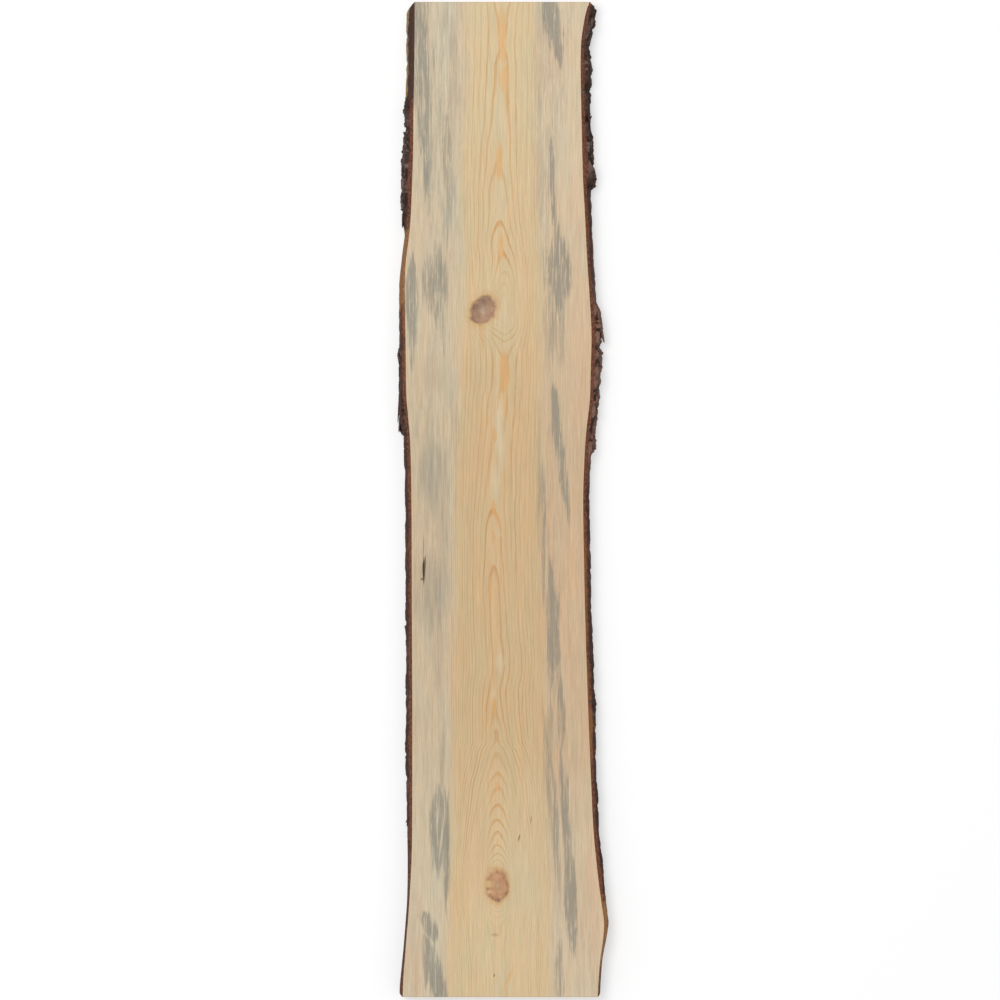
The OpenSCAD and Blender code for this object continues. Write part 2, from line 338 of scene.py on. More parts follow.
# From the left side's colour to the right side's, in mm, and how tan the left side's sapwood is
SIDE_BLUR = (-20.0, 20.0)
TAN_LEFT = 0.62
MOTTLE_BLUR = (0.35, 0.65)
# How far fills and stain sway, in mm
FILL_SWAY = 2.5
STAIN_SWAY = 7.0
# How much each noise frays the edges of the painted streaks
FILL_FRAY = {"smudge": 0.8, "thread": 0.8}
FLECK_FRAY = {"smudge": 2.5, "thread": 2.5}
STAIN_FRAY = {"smudge": 1.8, "blotch": 1.2, "thread": 1.0, "finger": 3.0}
SOFT_FRAY = {"smudge": 2.0, "finger": 1.6}
MARK_FRAY = {"thread": 1.0}
RESIN_FRAY = {"thread": 2.0}
# Clean fibre in the stain: the noises that make it, and how much stain they leave
FIELD_CLEAN = {"blotch": 1.0, "thread": 0.4}
FIELD_LEVEL = (-0.12, 0.14, 0.10, 1.70)
PATCH_CLEAN = {"finger": 1.0, "thread": 1.0}
PATCH_LEVEL = (-0.25, 0.2, 0.45, 1.30)
STREAK_CLEAN = {"thread": 1.0, "blotch": 0.6}
STREAK_LEVEL = (-0.17, 0.06, 0.18, 1.15)
HEART_STAIN = 0.45
STAIN_GREYNESS = 0.5
# Fine streaks in heartwood and in sapwood
FIBRE_HEART = 0.75
FIBRE_SAP = 0.95
# End grain: its depth from the end, in mm, and its saw marks
END_INSIDE = 0.8
END_OUTSIDE = 0.2
KERF_SHADE = (0.3, 0.7, 0.86, 1.1)
# Gloss and bump of the wood
PINE_ROUGHNESS = (0.0, 1.0, 0.68, 0.55)
END_ROUGHNESS = 0.85
PINE_SPECULAR = 0.3
FIBRE_HEIGHT = 0.5
LATE_HEIGHT = 0.5
KERF_HEIGHT = 3.0
LATE_END_HEIGHT = 1.5
PINE_BUMP = {"Strength": 0.15, "Distance": 0.2 * MM}

# A knot's body: rough outline, rings in one radius, dark outer band, pale middle, checks and shading
SPECKLE_ROUGH = 0.4
KNOT_RINGS = 22.0
RING_SPECKLE = 4.0
RING_DARK = (-0.4, 1.0)
BAND_REACH = (0.50, 0.92)
BAND_SPOKES = (0.35, 0.6, 0.10, 0.40)
MIDDLE_REACH = (0.45, 0.05)
CHECK_SPOKES = (0.54, 0.68)
CHECK_REACH = (0.2, 0.6)
CHECK_LEVEL = 0.30
SPECKLE_SHADE = (0.3, 0.7, 0.93, 1.08)
PATCH_SHADE = (0.3, 0.7, 1.10, 0.92)
SIDE_SHADE = (-0.8, 0.8, -0.5, 1.0)
# Its surroundings: warm halo, fibres that run into its left side, soft edge and dark rim
HALO_REACH = (1.60, 1.0)
HALO_SPOKES = (0.3, 0.6, 0.30, 0.65)
HALO_ORANGE = 0.5
FIBRE_LINES = (0.47, 0.58)
FIBRE_SIDE = (0.1, 0.7)
KNOT_BLUR = (1.20, 0.84)
RIM_INSIDE = (0.82, 0.97)
RIM_OUTSIDE = (1.12, 1.0)
RIM_LOW = (-0.1, 0.9)
RIM_SPOKES = (0.35, 0.6, 0.35, 1.0)

# Rays that find wood and bark: their start in mm from the middle, the share of the length that they
# keep to, their least distance from the sawn faces in mm, and their length in metres
RAY_START = 300.0
RAY_WITHIN = 0.9999
RAY_MARGIN = 0.03
RAY_LENGTH = 1.0
# Bark skin: the share of the length that it spans, and in mm its least thickness and the distance
# within which points are joined
SKIN_WITHIN = 0.99999
THINNEST = 0.06
MERGE_DISTANCE = 0.001
# Its sawn edge: how it crumbles towards the outside, and its pits
EDGE_WAVES = 0.10
EDGE_NOISE = (1.0, 4.0, 0.6)
EDGE_DROP = (0.30, 0.75, 0.10, 1.0)
EDGE_REACH = (0.5, 1.0)
PIT_NOISE = ((0.45, 0.7, 1.0), 3.0, 0.6)
PIT_DEPTH = (1.5, 6.0, 0.1, 1.4)
# Relief of the plates and scales: bends and heights in mm, furrows and slant in parts of a cell, and
# the deepest place as a share of the bark's thickness
BEND_NOISE = ((0.06, 0.06, 1.0), 3.0, 0.5)
BEND_ALONG = 16.0
BEND_UP = 8.0
FURROW_WIDTH = (0.24, 0.02)
SCALE_SINK = 0.2
SCALE_SLANT = 1.5
GRIT_NOISE = ((0.6, 0.8, 1.0), 4.0, 0.65)
GRIT_PLATED = 1.2
GRIT_BARE = 0.4
PLATED_THICKNESS = (2.5, 8.5)
DEEPEST = -0.6
# Loose scales: least slope outwards, turn, width and thickness as shares of the length, and their look
CHIP_SLOPE = 0.35
CHIP_TURN = 3.0
CHIP_NARROWEST = 0.45
CHIP_WIDEST = 0.9
CHIP_THICKNESS = 0.22
CHIP_LOOK = {"depth": 9.0, "cover": 9.0, "relief": 0.3}
# Shreds: points along and round, waves of their sway per mm, bow, seat, taper, their look, and how far
# they may reach from the middle, in mm
SHRED_POINTS = 14
SHRED_SIDES = 10
SWAY_WAVES = 0.12
SHRED_BOW = 1.1
SHRED_SEAT = 0.7
SHRED_LEAST = 0.002
SHRED_TAPER = 0.42
SHRED_UNEVEN = 0.8
SHRED_LOOK = {"depth": 5.0, "cover": 9.0, "relief": 0.0, "tone": 0.3}
SHRED_LIMIT = 131.0

# Noises in the bark, and how far its layers' edges are torn
BARK_PATCHES = ((0.06, 0.03, 0.09), 4.0, 0.6)
BARK_GRAIN = ((0.7, 0.25, 0.7), 5.0, 0.7)
BARK_TEAR = ((0.12, 0.05, 0.12), 4.0, 0.65)
TEAR_SHARE = 0.06
LEAST_COVER = 0.8
# Outer bark: grey on thick plates, red-brown on the right edge's bulge, and painted shade that darkens the
# furrows
GREY_TONE = (0.95, 1.5)
GREY_COVER = (5.0, 9.0)
BULGE_FRAY = 0.05
BULGE_START = (0.50, 0.55)
BULGE_END = (0.73, 0.69)
BULGE_LEVEL = (0.70, 1.15, 0.30, 1.0)
# Relief depths in mm over which the painted shade darkens the furrows
FURROW_SHADE_DEPTHS = (-0.5, -2.0)
# Inner bark, and the level at which the outer bark starts over it
INNER_GRAIN = (0.35, 0.65)
OUTER_LEVEL = (3.0, 9.0, 0.92, 0.5)
OUTER_FRAY = 1.2
OUTER_BLUR = (-0.15, 0.15)
# Bast, and the red lining next to the wood
GOLD_FIBRE = (-0.2, 0.25)
GOLD_BARE = (0.45, 0.9)
BAST_REACH = 1.5
BAST_FRAY = 1.4
BAST_BLUR = (0.1, -0.2)
BAST_BARE = (0.02, 0.2)
LINING_DEPTH = (0.9, 0.2)
LINING_GRAIN = 0.4
LINING_LEVEL = (0.6, 0.85, 0.1, 0.8)
# Dark strip at the upper left, with its yellow sliver
STRIP_FRAY = 0.03
STRIP_START = (0.900, 0.906)
STRIP_LEVEL = 0.8
SLIVER_FRAY = 30.0
SLIVER_HEIGHT = (15.0, 12.0)
SLIVER_GRAIN = (0.25, 0.5, 0.4, 1.0)
# Shade, gloss and bump of the bark
BARK_SHADE = (0.25, 0.75, 0.60, 1.40)
BARK_ROUGHNESS = 0.85
BARK_SPECULAR = 0.2
BARK_BUMP = {"Strength": 0.6, "Distance": 0.5 * MM}

# Socket types
FLOAT = "NodeSocketFloat"
WHOLE = "NodeSocketInt"
ARROW = "NodeSocketVector"
OBJECT = "NodeSocketObject"
MATERIAL = "NodeSocketMaterial"
GEOMETRY = "NodeSocketGeometry"


class Net:
    """Adds nodes to a tree and links them, so that a tree is written as a row of steps."""

    def __init__(self, tree):
        self.tree = tree

    def feed(self, socket, value):
        if isinstance(value, bpy.types.NodeSocket):
            self.tree.links.new(value, socket)
        elif value is not None:
            socket.default_value = value

    def node(self, kind, inputs=None, **settings):
        made = self.tree.nodes.new(kind)
        for name, value in settings.items():
            setattr(made, name, value)
        for key, value in (inputs or {}).items():
            self.feed(made.inputs[key], value)
        return made

    def first(self, kind, inputs=None, **settings):
        """The first output of a new node."""
        return self.node(kind, inputs, **settings).outputs[0]

    def maths(self, operation, *terms):
        return self.first("ShaderNodeMath", dict(enumerate(terms)), operation=operation)

    def add(self, a, b):
        return self.maths("ADD", a, b)

    def less(self, a, b):
        return self.maths("SUBTRACT", a, b)

    def times(self, a, b):
        return self.maths("MULTIPLY", a, b)

    def over(self, a, b):
        return self.maths("DIVIDE", a, b)

    def rest(self, a):
        """What is left of one."""
        return self.less(1.0, a)

    def clamp(self, value, low, high):
        return self.maths("MAXIMUM", self.maths("MINIMUM", value, high), low)

    def size(self, a, b):
        """Length of a two-dimensional arrow."""
        return self.maths("SQRT", self.add(self.times(a, a), self.times(b, b)))

    def total(self, values, shares):
        """Sum of the named values, each times its share."""
        made = None
        for name, share in shares.items():
            part = self.times(values[name], share)
            made = part if made is None else self.add(made, part)
        return made

    def ramp(self, value, low, high, start=0.0, end=1.0, kind="SMOOTHSTEP"):
        """Step from start to end as the value goes from low to high, smooth unless told otherwise."""
        terms = (value, low, high, start, end)
        return self.first("ShaderNodeMapRange", dict(enumerate(terms)), interpolation_type=kind)

    def line(self, value, low, high):
        """Straight, clamped step from 0 to 1 as the value goes from low to high."""
        return self.ramp(value, low, high, kind="LINEAR")

    def blend(self, share, a, b):
        return self.first("ShaderNodeMix", {0: share, 2: a, 3: b}, data_type="FLOAT")

    def tint(self, share, a, b, blend_type="MIX"):
        inputs = {0: share, 6: a, 7: b}
        return self.node("ShaderNodeMix", inputs, data_type="RGBA", blend_type=blend_type).outputs[2]

    def filtered(self, colour, by):
        """The colour, multiplied by another."""
        return self.tint(1.0, colour, by, "MULTIPLY")

    def parts(self, vector):
        return self.node("ShaderNodeSeparateXYZ", {0: vector}).outputs

    def vector(self, x, y, z):
        return self.first("ShaderNodeCombineXYZ", {0: x, 1: y, 2: z})

    def stretch(self, vector, by):
        return self.first("ShaderNodeVectorMath", {0: vector, 1: by}, operation="MULTIPLY")

    def metres(self, x, y, z):
        """A point from its places in millimetres."""
        return self.stretch(self.vector(x, y, z), (MM,) * 3)

    def noise(self, vector, scale=1.0, detail=2.0, roughness=0.5):
        inputs = {"Vector": vector, "Scale": scale, "Detail": detail, "Roughness": roughness}
        return self.first("ShaderNodeTexNoise", inputs)

    def field(self, place, look, scale=1.0):
        """A noise over a place in mm, from its waves, detail and roughness."""
        waves, detail, roughness = look
        return self.noise(self.stretch(place, waves), scale, detail, roughness)

    def swing(self, place, look):
        """Such a noise about zero."""
        return self.less(self.field(place, look), 0.5)

    def curve(self, share, points, reach):
        """Smooth curve through points of (share, value), with values between plus and minus reach."""
        made = self.node("ShaderNodeFloatCurve", {"Value": share})
        curve = made.mapping.curves[0]
        for place, value in points[1:-1]:
            curve.points.new(place, 0.5 + 0.5 * value / reach)
        for index, (place, value) in ((0, points[0]), (len(points) - 1, points[-1])):
            curve.points[index].location = (place, 0.5 + 0.5 * value / reach)
        for point in curve.points:
            point.handle_type = "AUTO_CLAMPED"
        made.mapping.update()
        return self.times(self.less(made.outputs[0], 0.5), 2.0 * reach)


def new_group(name, kind, inputs, outputs):
    """A node group with the named sockets: (name, socket type, default) in and (name, socket type) out."""
    tree = bpy.data.node_groups.new(name, kind)
    for label, socket, default in inputs:
        made = tree.interface.new_socket(label, in_out="INPUT", socket_type=socket)
        if default is not None:
            made.default_value = default
    for label, socket in outputs:
        tree.interface.new_socket(label, in_out="OUTPUT", socket_type=socket)
    net = Net(tree)
    return tree, net, net.node("NodeGroupInput").outputs, net.node("NodeGroupOutput").inputs


def new_shader_group(name, inputs, outputs):
    """A shader group of numbers: named inputs, and named outputs."""
    made = [(label, FLOAT, 0.0) for label in inputs]
    return new_group(name, "ShaderNodeTree", made, [(label, FLOAT) for label in outputs])


def new_mesh_group(name, inputs):
    return new_group(name, "GeometryNodeTree", inputs, [("Geometry", GEOMETRY)])


def place_group(net, tree, inputs):
    kind = "GeometryNodeGroup" if tree.bl_idname == "GeometryNodeTree" else "ShaderNodeGroup"
    made = net.tree.nodes.new(kind)
    made.node_tree = tree
    for name, value in inputs.items():
        net.feed(made.inputs[name], value)
    return made.outputs


def new_material(name):
    material = bpy.data.materials.new(name)
    material.use_nodes = True
    material.node_tree.nodes.clear()
    net = Net(material.node_tree)
    shader = net.node("ShaderNodeBsdfPrincipled")
    net.node("ShaderNodeOutputMaterial", {"Surface": shader.outputs[0]})
    return material, net, shader.inputs


def place_in_mm(net):
    """Place on the object, in millimetres of the plank's own frame."""
    return net.stretch(net.node("ShaderNodeTexCoord").outputs["Object"], (1 / MM,) * 3)


# Shader groups

def make_lens():
    """A streak with two pointed ends, leaning along the grain, with frayed edges."""
    inputs = ("Across", "Along", "Half Width", "Half Length", "Lean", "Strength", "X", "Y", "Fray", "Edge")
    tree, net, given, out = new_shader_group("streak", inputs, ("Mask",))
    rise = net.less(given["Y"], given["Along"])
    off = net.less(net.less(given["X"], given["Across"]), net.times(given["Lean"], rise))
    side = net.maths("ABSOLUTE", net.over(off, given["Half Width"]))
    end = net.over(rise, given["Half Length"])
    far = net.add(net.add(side, net.times(end, end)), given["Fray"])
    shown = net.ramp(far, net.add(1.0, given["Edge"]), net.rest(given["Edge"]))
    net.feed(out["Mask"], net.times(shown, given["Strength"]))
    return tree


def make_knot():
    """Place on a knot: its share of the knot's radius, how far it is low and left, and the checks in it."""
    inputs = ("Across", "Along", "Half Width", "Half Length", "Turn", "X", "Y")
    tree, net, given, out = new_shader_group("knot", inputs, ("Reach", "Low", "Left", "Spoke"))
    x = net.less(given["X"], given["Across"])
    y = net.less(given["Y"], given["Along"])
    cos = net.maths("COSINE", given["Turn"])
    sin = net.maths("SINE", given["Turn"])
    across = net.over(net.add(net.times(x, cos), net.times(y, sin)), given["Half Width"])
    along = net.over(net.less(net.times(y, cos), net.times(x, sin)), given["Half Length"])
    reach = net.size(across, along)
    far = net.maths("MAXIMUM", reach, SPOKE_MIDDLE)
    spoke_place = net.vector(net.over(across, far), net.over(along, far), net.times(reach, SPOKE_STRETCH))
    net.feed(out["Reach"], reach)
    net.feed(out["Low"], net.times(along, -1.0))
    net.feed(out["Left"], net.times(across, -1.0))
    net.feed(out["Spoke"], net.noise(spoke_place, *SPOKES))
    return tree


def make_fibre():
    """Fine streaks along the grain, the same on every face: a colour shift and a bump height."""
    inputs = [("Place", ARROW, None), ("Fineness", FLOAT, 1.0)]
    outputs = [("Shift", FLOAT), ("Height", FLOAT)]
    tree, net, given, out = new_group("fibre", "ShaderNodeTree", inputs, outputs)
    broad = net.field(given["Place"], BROAD_FIBRE, given["Fineness"])
    fine = net.field(given["Place"], FINE_FIBRE, given["Fineness"])
    both = net.add(net.times(broad, BROAD_SHARE), net.times(fine, FINE_SHARE))
    net.feed(out["Shift"], net.less(both, 0.5))
    net.feed(out["Height"], fine)
    return tree


LENS_GROUP = make_lens()
KNOT_GROUP = make_knot()
FIBRE_GROUP = make_fibre()


# Pine

def streaks(net, rows, x, y, fray, edge):
    """The strongest of many streaks at each place."""
    mask = None
    for across, along, half_width, half_length, lean, strength in rows:
        inputs = {
            "Across": across, "Along": along, "Half Width": half_width, "Half Length": half_length,
            "Lean": lean, "Strength": strength, "X": x, "Y": y, "Fray": fray, "Edge": edge,
        }
        made = place_group(net, LENS_GROUP, inputs)["Mask"]
        mask = made if mask is None else net.maths("MAXIMUM", mask, made)
    return mask


def find_knot(net, knot, x, y):
    inputs = {
        "Across": knot["across"], "Along": knot["along"], "Half Width": knot["half_width"],
        "Half Length": knot["half_length"], "Turn": knot["turn"], "X": x, "Y": y,
    }
    return place_group(net, KNOT_GROUP, inputs)


def shade(net, colour, level):
    """The colour, made lighter or darker by a level about one."""
    grey = net.first("ShaderNodeCombineColor", {0: level, 1: level, 2: level})
    return net.filtered(colour, grey)


def make_pine():
    """Pine with growth rings round a swaying pith, heartwood, sapwood, stain, knots, resin and end grain."""
    material, net, shader = new_material("pine")
    place = place_in_mm(net)
    x, y, z = net.parts(place)
    share = net.add(net.over(y, LENGTH), 0.5)
    under = net.less(THICKNESS, z)
    near_face = net.ramp(under, *FACE_DEPTH)
    fibre = place_group(net, FIBRE_GROUP, {"Place": place, "Fineness": PINE_FINENESS})
    warp = net.swing(place, WARP)
    waver = net.swing(place, WAVER)

    # Pith, and how far each place lies from it
    pith_x = net.curve(share, [(s, across) for s, across, depth in PITH_PATH], PITH_REACH)
    pith_depth = net.curve(share, [(s, depth) for s, across, depth in PITH_PATH], PITH_REACH)
    pull = net.ramp(net.maths("ABSOLUTE", x), *PITH_PULL)
    off = net.add(net.less(x, net.times(pith_x, pull)), net.times(waver, PITH_WAVER))
    aside = net.maths("ABSOLUTE", off)
    depth = net.blend(net.ramp(aside, *PITH_SPREAD), pith_depth, USUAL_DEPTH)
    radius = net.size(off, net.less(depth, under))

    # Knots
    lump = net.times(net.swing(place, LUMP), LUMP_SIZE)
    upper = find_knot(net, KNOT_UPPER, x, y)
    lower = find_knot(net, KNOT_LOWER, x, y)
    upper_reach = net.add(upper["Reach"], lump)
    lower_reach = net.add(lower["Reach"], lump)

    # Ring number: wide rings at the heart, narrow ones under the bark, drawn out round the knots
    outer = net.maths("MAXIMUM", net.less(radius, NARROW_FROM), 0.0)
    rings = net.add(net.over(radius, RING_WIDTH), net.times(net.times(outer, outer), NARROWING))
    draw = net.curve(share, KNOT_DRAW, DRAW_REACH)
    beside = net.size(net.less(x, KNOT_LOWER["across"]), KNOT_DRAW_POINT)
    draw = net.times(draw, net.line(net.less(beside, KNOT_DRAW_POINT), KNOT_DRAW_WIDTH, 0.0))
    draw = net.times(draw, net.add(1.0, net.times(net.swing(place, UNEVEN), DRAW_UNEVEN)))
    bow = net.ramp(upper_reach, *UPPER_BOW)
    rings = net.less(rings, net.times(net.add(draw, bow), near_face))
    round_knot = net.times(net.ramp(lower_reach, *LOWER_ROUND), near_face)
    rings = net.blend(round_knot, rings, net.add(KNOT_RING, net.times(lower_reach, KNOT_RING_STEP)))
    rings = net.add(rings, net.times(waver, RING_WAVER))

    # Late wood, of its own strength in each ring
    phase = net.maths("FRACT", rings)
    late = net.ramp(phase, net.ramp(share, *LATE_START), LATE_DARKEST)
    late = net.times(late, net.ramp(phase, *LATE_END))
    number = net.maths("FLOOR", rings)
    own = net.first("ShaderNodeTexWhiteNoise", {"W": number}, noise_dimensions="1D")
    strength = net.ramp(net.field(place, RING_CHANGE), *LATE_CHANGE)
    strength = net.times(strength, net.blend(net.times(own, own), *LATE_OWN))
    nearest_knot = net.maths("MINIMUM", upper_reach, lower_reach)
    strength = net.times(strength, net.ramp(nearest_knot, *LATE_NEAR_KNOT))
    core = net.ramp(aside, net.ramp(share, *CORE_WIDTH), CORE_FULL)
    core = net.times(core, net.curve(share, CORE_ALONG, 1.0))
    in_core = net.times(core, net.blend(own, *CORE_OWN))
    late = net.times(late, net.maths("MAXIMUM", strength, in_core))
    shallow = net.ramp(share, *SHALLOW_LEVEL)
    late = net.times(late, net.ramp(depth, *SHALLOW_DEPTH, shallow, 1.0))
    late = net.times(late, net.ramp(share, *TOP_LEVEL))
    below_knot = net.times(net.ramp(aside, *BELOW_KNOT_ASIDE), net.ramp(share, *BELOW_KNOT_ALONG))
    late = net.times(late, net.blend(below_knot, 1.0, BELOW_KNOT_LEVEL))

    # Heartwood and sapwood
    heart_edge = net.add(net.blend(share, HEART_BUTT, HEART_TOP), net.times(warp, HEART_WARP))
    sap = net.ramp(net.less(radius, heart_edge), *HEART_BLUR)
    heart = net.rest(sap)
    sap_early = net.tint(net.ramp(x, *SIDE_BLUR), SAP_LEFT, SAP_RIGHT)
    early_colour = net.tint(sap, HEART_EARLY, sap_early)
    late_colour = net.tint(sap, HEART_LATE, SAP_LATE)
    late_colour = net.tint(net.times(core, heart), late_colour, CORE_LATE)
    wood = net.tint(late, early_colour, late_colour)
    tan_side = net.blend(sap, 1.0, net.ramp(x, *SIDE_BLUR, TAN_LEFT, 1.0))
    tan = net.times(net.curve(share, TAN_ALONG, 1.0), tan_side)
    warmth = net.tint(tan, PALE_TINT, TAN_TINT)
    wood = net.filtered(wood, warmth)
    mottle = net.ramp(net.field(place, MOTTLE), *MOTTLE_BLUR)
    wood = net.filtered(wood, net.tint(mottle, PINK_TINT, GREEN_TINT))

    # Rings that lie flat in the face, and pink flecks
    looks = {"smudge": SMUDGE, "thread": THREAD, "blotch": BLOTCH, "finger": FINGER}
    noises = {name: net.swing(place, look) for name, look in looks.items()}
    fill_fray = net.total(noises, FILL_FRAY)
    fill_x = net.add(x, net.times(waver, FILL_SWAY))
    pale = streaks(net, PALE_FILLS, fill_x, y, fill_fray, FLECK_EDGE)
    wood = net.tint(net.times(pale, near_face), wood, FILL_PALE)
    orange = streaks(net, ORANGE_FILLS, fill_x, y, fill_fray, FILL_EDGE)
    wood = net.tint(net.times(orange, near_face), wood, net.filtered(FILL_ORANGE, warmth))
    fleck = streaks(net, PINK_FLECKS, x, y, net.total(noises, FLECK_FRAY), FLECK_EDGE)
    wood = net.tint(fleck, wood, net.filtered(wood, FLECK_TINT))

    # Blue stain, with threads of clean fibre in it
    stain_fray = net.total(noises, STAIN_FRAY)
    soft_fray = net.total(noises, SOFT_FRAY)
    stain_x = net.add(x, net.times(warp, STAIN_SWAY))
    stain = streaks(net, STAIN_STREAKS, stain_x, y, stain_fray, STAIN_EDGE)
    field = streaks(net, STAIN_FIELDS, stain_x, y, stain_fray, FLECK_EDGE)
    field = net.times(field, net.ramp(net.total(noises, FIELD_CLEAN), *FIELD_LEVEL))
    stain = net.maths("MAXIMUM", stain, field)
    stain = net.times(stain, net.add(sap, net.times(heart, HEART_STAIN)))
    stain = net.times(stain, net.ramp(net.total(noises, STREAK_CLEAN), *STREAK_LEVEL))
    patches = streaks(net, STAIN_PATCHES, stain_x, y, soft_fray, FLECK_EDGE)
    patches = net.times(patches, net.ramp(net.total(noises, PATCH_CLEAN), *PATCH_LEVEL))
    stain = net.maths("MAXIMUM", stain, net.times(patches, sap))
    gaps = streaks(net, STAIN_GAPS, stain_x, y, soft_fray, FLECK_EDGE)
    stain = net.times(stain, net.rest(gaps))
    stained = net.tint(STAIN_GREYNESS, net.filtered(wood, STAIN_TINT), STAIN_GREY)
    wood = net.tint(stain, wood, stained)

    # Knots, dark marks and the resin pocket
    wood = paint_knot(net, wood, upper, upper_reach, KNOT_UPPER_LOOK, near_face, place)
    wood = paint_knot(net, wood, lower, lower_reach, KNOT_LOWER_LOOK, near_face, place)
    marks = streaks(net, MARKS, x, y, net.total(noises, MARK_FRAY), MARK_EDGE)
    wood = net.tint(net.times(marks, near_face), wood, KNOT_RIM)
    resin = streaks(net, RESIN_STREAKS, x, y, net.total(noises, RESIN_FRAY), MARK_EDGE)
    wood = net.tint(net.times(resin, near_face), wood, RESIN)

    # Fine streaks in the colour, and the darker end grain
    streaky = net.times(fibre["Shift"], net.blend(sap, FIBRE_HEART, FIBRE_SAP))
    wood = shade(net, wood, net.add(1.0, streaky))
    half = 0.5 * LENGTH
    end = net.ramp(net.maths("ABSOLUTE", y), half - END_INSIDE, half - END_OUTSIDE)
    kerf = net.field(place, KERF)
    end_wood = shade(net, net.filtered(wood, END_TINT), net.ramp(kerf, *KERF_SHADE))
    net.feed(shader["Base Color"], net.tint(end, wood, end_wood))
    net.feed(shader["Roughness"], net.blend(end, net.ramp(late, *PINE_ROUGHNESS), END_ROUGHNESS))
    shader["Specular IOR Level"].default_value = PINE_SPECULAR
    height = net.add(net.times(fibre["Height"], FIBRE_HEIGHT), net.times(late, LATE_HEIGHT))
    end_height = net.add(net.times(kerf, KERF_HEIGHT), net.times(late, LATE_END_HEIGHT))
    height = net.blend(end, height, end_height)
    net.feed(shader["Normal"], net.first("ShaderNodeBump", {"Height": height, **PINE_BUMP}))
    return material


def paint_knot(net, wood, knot, reach, look, near_face, place):
    """A knot's own rings, its pale middle, its checks, its dark rim and the warm wood round it."""
    speckle = net.field(place, KNOT_SPECKLE)
    patchy = net.field(place, KNOT_PATCHES)
    rough = net.add(net.less(patchy, 0.5), net.times(net.less(speckle, 0.5), SPECKLE_ROUGH))
    outline = net.add(reach, net.times(rough, look["ragged"]))
    ring = net.add(net.times(outline, KNOT_RINGS), net.times(speckle, RING_SPECKLE))
    ring = net.ramp(net.maths("SINE", ring), *RING_DARK, 0.0, look["rings"])
    body = net.tint(ring, look["colour"], KNOT_RIM)
    band = net.times(net.ramp(outline, *BAND_REACH), net.ramp(knot["Spoke"], *BAND_SPOKES))
    body = net.tint(band, body, KNOT_RIM)
    body = net.tint(net.ramp(outline, *MIDDLE_REACH, 0.0, look["paleness"]), body, KNOT_PALE)
    check = net.times(net.ramp(knot["Spoke"], *CHECK_SPOKES), net.ramp(reach, *CHECK_REACH))
    body = net.tint(net.times(check, CHECK_LEVEL), body, KNOT_RIM)
    body = shade(net, body, net.ramp(speckle, *SPECKLE_SHADE))
    body = shade(net, body, net.ramp(patchy, *PATCH_SHADE))
    darker = net.times(net.ramp(knot["Left"], *SIDE_SHADE), look["dark_left"])
    body = shade(net, body, net.rest(darker))

    # Warm wood round the knot, and pale fibres that run into its left side
    halo = net.times(net.ramp(outline, *HALO_REACH), net.ramp(knot["Spoke"], *HALO_SPOKES))
    warm = net.tint(HALO_ORANGE, FILL_ORANGE, CORE_LATE)
    wood = net.tint(net.times(halo, near_face), wood, warm)
    fibres = net.ramp(net.field(place, KNOT_FIBRES), *FIBRE_LINES)
    broken = net.times(net.times(fibres, net.ramp(knot["Left"], *FIBRE_SIDE)), look["broken"])
    inside = net.times(net.times(net.ramp(outline, *KNOT_BLUR), near_face), net.rest(broken))
    wood = net.tint(inside, wood, body)
    rim = net.times(net.ramp(outline, *RIM_INSIDE), net.ramp(outline, *RIM_OUTSIDE))
    low = net.add(knot["Low"], net.times(knot["Left"], look["rim_lean"]))
    rim = net.times(rim, net.ramp(low, *RIM_LOW, 0.0, look["rim"]))
    rim = net.times(rim, net.ramp(knot["Spoke"], *RIM_SPOKES))
    return net.tint(net.times(rim, near_face), wood, KNOT_RIM)


# Bark

